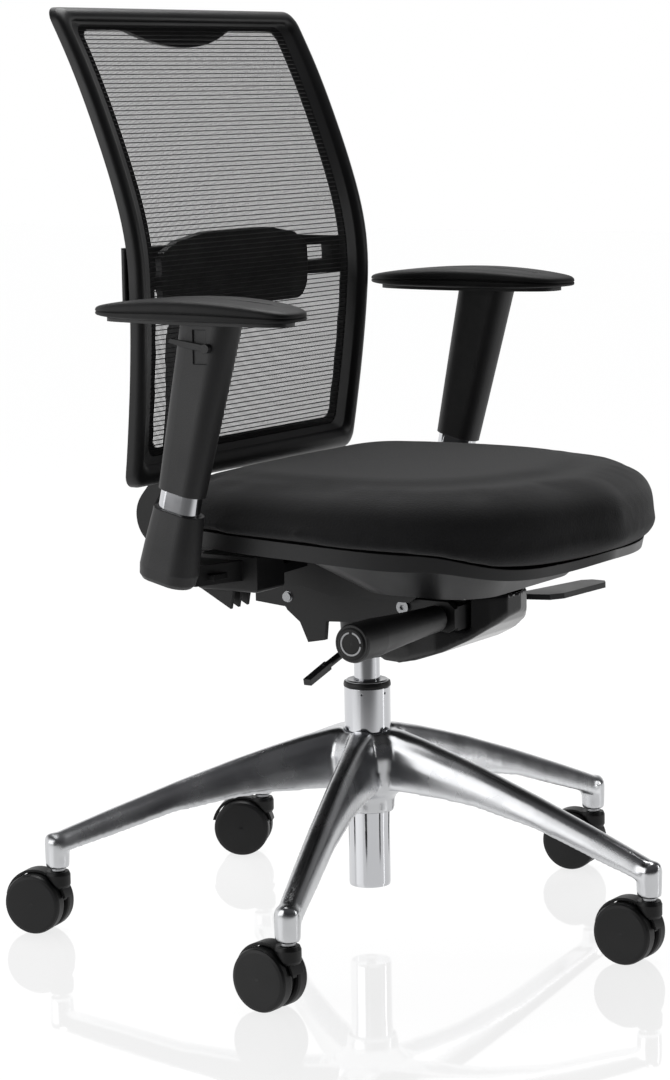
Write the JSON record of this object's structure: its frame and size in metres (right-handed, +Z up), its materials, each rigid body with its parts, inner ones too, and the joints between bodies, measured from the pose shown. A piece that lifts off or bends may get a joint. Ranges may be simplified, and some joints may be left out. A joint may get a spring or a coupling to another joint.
{
  "type": "swivel office chair",
  "caption": "Height-adjustable swivel office chair with a star base on castors, padded seat, reclining mesh back with lumbar pad, and adjustable armrests.",
  "frame": {"origin": "on the floor, on the axis of the column", "axes": "+Z up along the column, the sitter faces -Y, and the sitter's left is +X"},
  "size_m": [0.6849, 0.6847, 0.986],
  "materials": {
    "polished_aluminium": "polished",
    "chrome": "mirror",
    "steel": "satin",
    "black_metal": "satin black paint",
    "black_plastic": "fine matte texture",
    "gloss_black": "glossy",
    "castor_black": "satin",
    "pad_black": "soft matte",
    "seat_fabric": "woven",
    "mesh_fabric": "open mesh"
  },
  "bodies": {
    "base": {"star_base": "polished_aluminium", "column_tube": "chrome", "column_collar": "black_plastic", "guide_bush": "steel", "thrust_bearing": "steel", "castor_stems": "steel"},
    "rod": {"piston_rod": "steel"},
    "mechanism": {"gas_cylinder": "chrome", "mechanism_housing": "black_metal", "belly_cover": "gloss_black", "pivot_pins": "steel"},
    "valve": {"valve_pin": "steel"},
    "height_lever": {"height_lever": "black_plastic"},
    "lock_lever": {"lock_lever": "black_plastic"},
    "tension": {"tension_knob": "black_plastic", "knob_cap": "black_plastic", "tension_shaft": "steel"},
    "back": {"back_carrier": "black_metal", "back_yoke": "black_plastic", "back_frame": "black_plastic", "back_mesh": "mesh_fabric", "back_crossbar": "black_plastic", "back_screws": "steel"},
    "lumbar": {"lumbar_pad": "black_plastic"},
    "seat_carrier": {"seat_plate": "black_metal", "arm_bracket_left": "black_metal", "arm_bracket_right": "black_metal", "arm_boot_left": "black_plastic", "arm_boot_right": "black_plastic", "arm_post_left": "chrome", "arm_post_right": "chrome"},
    "seat": {"seat_shell": "black_plastic", "seat_cushion": "seat_fabric"},
    "depth_lever": {"depth_lever": "black_plastic"},
    "armrest_left": {"arm_sleeve_left": "black_plastic", "arm_pad_left": "pad_black"},
    "arm_release_left": {"arm_button_left": "black_plastic"},
    "armrest_right": {"arm_sleeve_right": "black_plastic", "arm_pad_right": "pad_black"},
    "arm_release_right": {"arm_button_right": "black_plastic"},
    "castor_a": {"castor_hood_a": "castor_black", "castor_axle_a": "steel"},
    "wheel_a_left": {"wheel_a_left": "castor_black"},
    "wheel_a_right": {"wheel_a_right": "castor_black"},
    "castor_b": {"castor_hood_b": "castor_black", "castor_axle_b": "steel"},
    "wheel_b_left": {"wheel_b_left": "castor_black"},
    "wheel_b_right": {"wheel_b_right": "castor_black"},
    "castor_c": {"castor_hood_c": "castor_black", "castor_axle_c": "steel"},
    "wheel_c_left": {"wheel_c_left": "castor_black"},
    "wheel_c_right": {"wheel_c_right": "castor_black"},
    "castor_d": {"castor_hood_d": "castor_black", "castor_axle_d": "steel"},
    "wheel_d_left": {"wheel_d_left": "castor_black"},
    "wheel_d_right": {"wheel_d_right": "castor_black"},
    "castor_e": {"castor_hood_e": "castor_black", "castor_axle_e": "steel"},
    "wheel_e_left": {"wheel_e_left": "castor_black"},
    "wheel_e_right": {"wheel_e_right": "castor_black"}
  },
  "joints": [
    {"name": "seat_swivel", "type": "hinge", "parent": "base", "child": "rod", "pos_m": [0, 0, 0.054], "axis": [0, 0, 1], "continuous": true},
    {"name": "seat_height", "type": "slide", "parent": "rod", "child": "mechanism", "axis": [0, 0, 1], "range_m": [-0.022, 0.078]},
    {"name": "valve_press", "type": "slide", "parent": "mechanism", "child": "valve", "axis": [0, 0, -1], "range_m": [0, 0.003]},
    {"name": "height_lever_tip", "type": "hinge", "parent": "mechanism", "child": "height_lever", "pos_m": [0.07, -0.135, 0.358], "axis": [-1, 0, 0], "range_deg": [0, 8], "stiffness_Nm_per_rad": 0.6, "springref_deg": -5.73},
    {"name": "lock_lever_tip", "type": "hinge", "parent": "mechanism", "child": "lock_lever", "pos_m": [-0.066, -0.04, 0.326], "axis": [1, 0, 0], "range_deg": [-20, 0]},
    {"name": "tension_turn", "type": "hinge", "parent": "mechanism", "child": "tension", "pos_m": [-0.07, -0.135, 0.358], "axis": [-1, 0, 0], "range_deg": [-900, 900]},
    {"name": "back_recline", "type": "hinge", "parent": "mechanism", "child": "back", "pos_m": [0, 0.051, 0.366], "axis": [-1, 0, 0], "range_deg": [0, 20], "stiffness_Nm_per_rad": 40, "springref_deg": -51.57},
    {"name": "lumbar_height", "type": "slide", "parent": "back", "child": "lumbar", "axis": [0, 0, 1], "range_m": [-0.03, 0.03]},
    {"name": "seat_tilt", "type": "hinge", "parent": "mechanism", "child": "seat_carrier", "pos_m": [0, -0.093, 0.366], "axis": [-1, 0, 0], "range_deg": [0, 6.8]},
    {"name": "seat_depth", "type": "slide", "parent": "seat_carrier", "child": "seat", "axis": [0, -1, 0], "range_m": [0, 0.05]},
    {"name": "depth_lever_tip", "type": "hinge", "parent": "seat", "child": "depth_lever", "pos_m": [0.188, -0.02, 0.429], "axis": [0, 1, 0], "range_deg": [0, 10], "stiffness_Nm_per_rad": 0.3, "springref_deg": -4.58},
    {"name": "armrest_height_left", "type": "slide", "parent": "seat_carrier", "child": "armrest_left", "axis": [0, -0.2273, 0.9738], "range_m": [-0.015, 0.08]},
    {"name": "arm_release_tip_left", "type": "hinge", "parent": "armrest_left", "child": "arm_release_left", "pos_m": [0.294, -0.005, 0.649], "axis": [1, 0, 0], "range_deg": [-10, 0], "stiffness_Nm_per_rad": 0.1, "springref_deg": 4.58},
    {"name": "armrest_height_right", "type": "slide", "parent": "seat_carrier", "child": "armrest_right", "axis": [0, -0.2273, 0.9738], "range_m": [-0.015, 0.08]},
    {"name": "arm_release_tip_right", "type": "hinge", "parent": "armrest_right", "child": "arm_release_right", "pos_m": [-0.294, -0.005, 0.649], "axis": [1, 0, 0], "range_deg": [-10, 0], "stiffness_Nm_per_rad": 0.1, "springref_deg": 4.58},
    {"name": "castor_swivel_a", "type": "hinge", "parent": "base", "child": "castor_a", "pos_m": [-0.19867, 0.27345, 0.06], "axis": [0, 0, 1], "continuous": true},
    {"name": "wheel_turn_a_left", "type": "hinge", "parent": "castor_a", "child": "wheel_a_left", "pos_m": [-0.20298, 0.29604, 0.0325], "axis": [-0.9823, -0.1874, 0], "continuous": true},
    {"name": "wheel_turn_a_right", "type": "hinge", "parent": "castor_a", "child": "wheel_a_right", "pos_m": [-0.20298, 0.29604, 0.0325], "axis": [-0.9823, -0.1874, 0], "continuous": true},
    {"name": "castor_swivel_b", "type": "hinge", "parent": "base", "child": "castor_b", "pos_m": [-0.32146, -0.10445, 0.06], "axis": [0, 0, 1], "continuous": true},
    {"name": "wheel_turn_b_left", "type": "hinge", "parent": "castor_b", "child": "wheel_b_left", "pos_m": [-0.31985, -0.0815, 0.0325], "axis": [-0.9976, 0.0698, 0], "continuous": true},
    {"name": "wheel_turn_b_right", "type": "hinge", "parent": "castor_b", "child": "wheel_b_right", "pos_m": [-0.31985, -0.0815, 0.0325], "axis": [-0.9976, 0.0698, 0], "continuous": true},
    {"name": "castor_swivel_c", "type": "hinge", "parent": "base", "child": "castor_c", "pos_m": [0, -0.338, 0.06], "axis": [0, 0, 1], "continuous": true},
    {"name": "wheel_turn_c_left", "type": "hinge", "parent": "castor_c", "child": "wheel_c_left", "pos_m": [0.00032, -0.315, 0.0325], "axis": [-0.9999, 0.014, 0], "continuous": true},
    {"name": "wheel_turn_c_right", "type": "hinge", "parent": "castor_c", "child": "wheel_c_right", "pos_m": [0.00032, -0.315, 0.0325], "axis": [-0.9999, 0.014, 0], "continuous": true},
    {"name": "castor_swivel_d", "type": "hinge", "parent": "base", "child": "castor_d", "pos_m": [0.32146, -0.10445, 0.06], "axis": [0, 0, 1], "continuous": true},
    {"name": "wheel_turn_d_left", "type": "hinge", "parent": "castor_d", "child": "wheel_d_left", "pos_m": [0.31865, -0.08162, 0.0325], "axis": [-0.9925, -0.1219, 0], "continuous": true},
    {"name": "wheel_turn_d_right", "type": "hinge", "parent": "castor_d", "child": "wheel_d_right", "pos_m": [0.31865, -0.08162, 0.0325], "axis": [-0.9925, -0.1219, 0], "continuous": true},
    {"name": "castor_swivel_e", "type": "hinge", "parent": "base", "child": "castor_e", "pos_m": [0.19867, 0.27345, 0.06], "axis": [0, 0, 1], "continuous": true},
    {"name": "wheel_turn_e_left", "type": "hinge", "parent": "castor_e", "child": "wheel_e_left", "pos_m": [0.18895, 0.29429, 0.0325], "axis": [-0.9063, -0.4226, 0], "continuous": true},
    {"name": "wheel_turn_e_right", "type": "hinge", "parent": "castor_e", "child": "wheel_e_right", "pos_m": [0.18895, 0.29429, 0.0325], "axis": [-0.9063, -0.4226, 0], "continuous": true}
  ],
  "couplings": [
    {"joint": "valve_press", "follows": "height_lever_tip", "m_per_rad": 0.021486},
    {"joint": "seat_tilt", "follows": "back_recline", "ratio": 0.337}
  ]
}
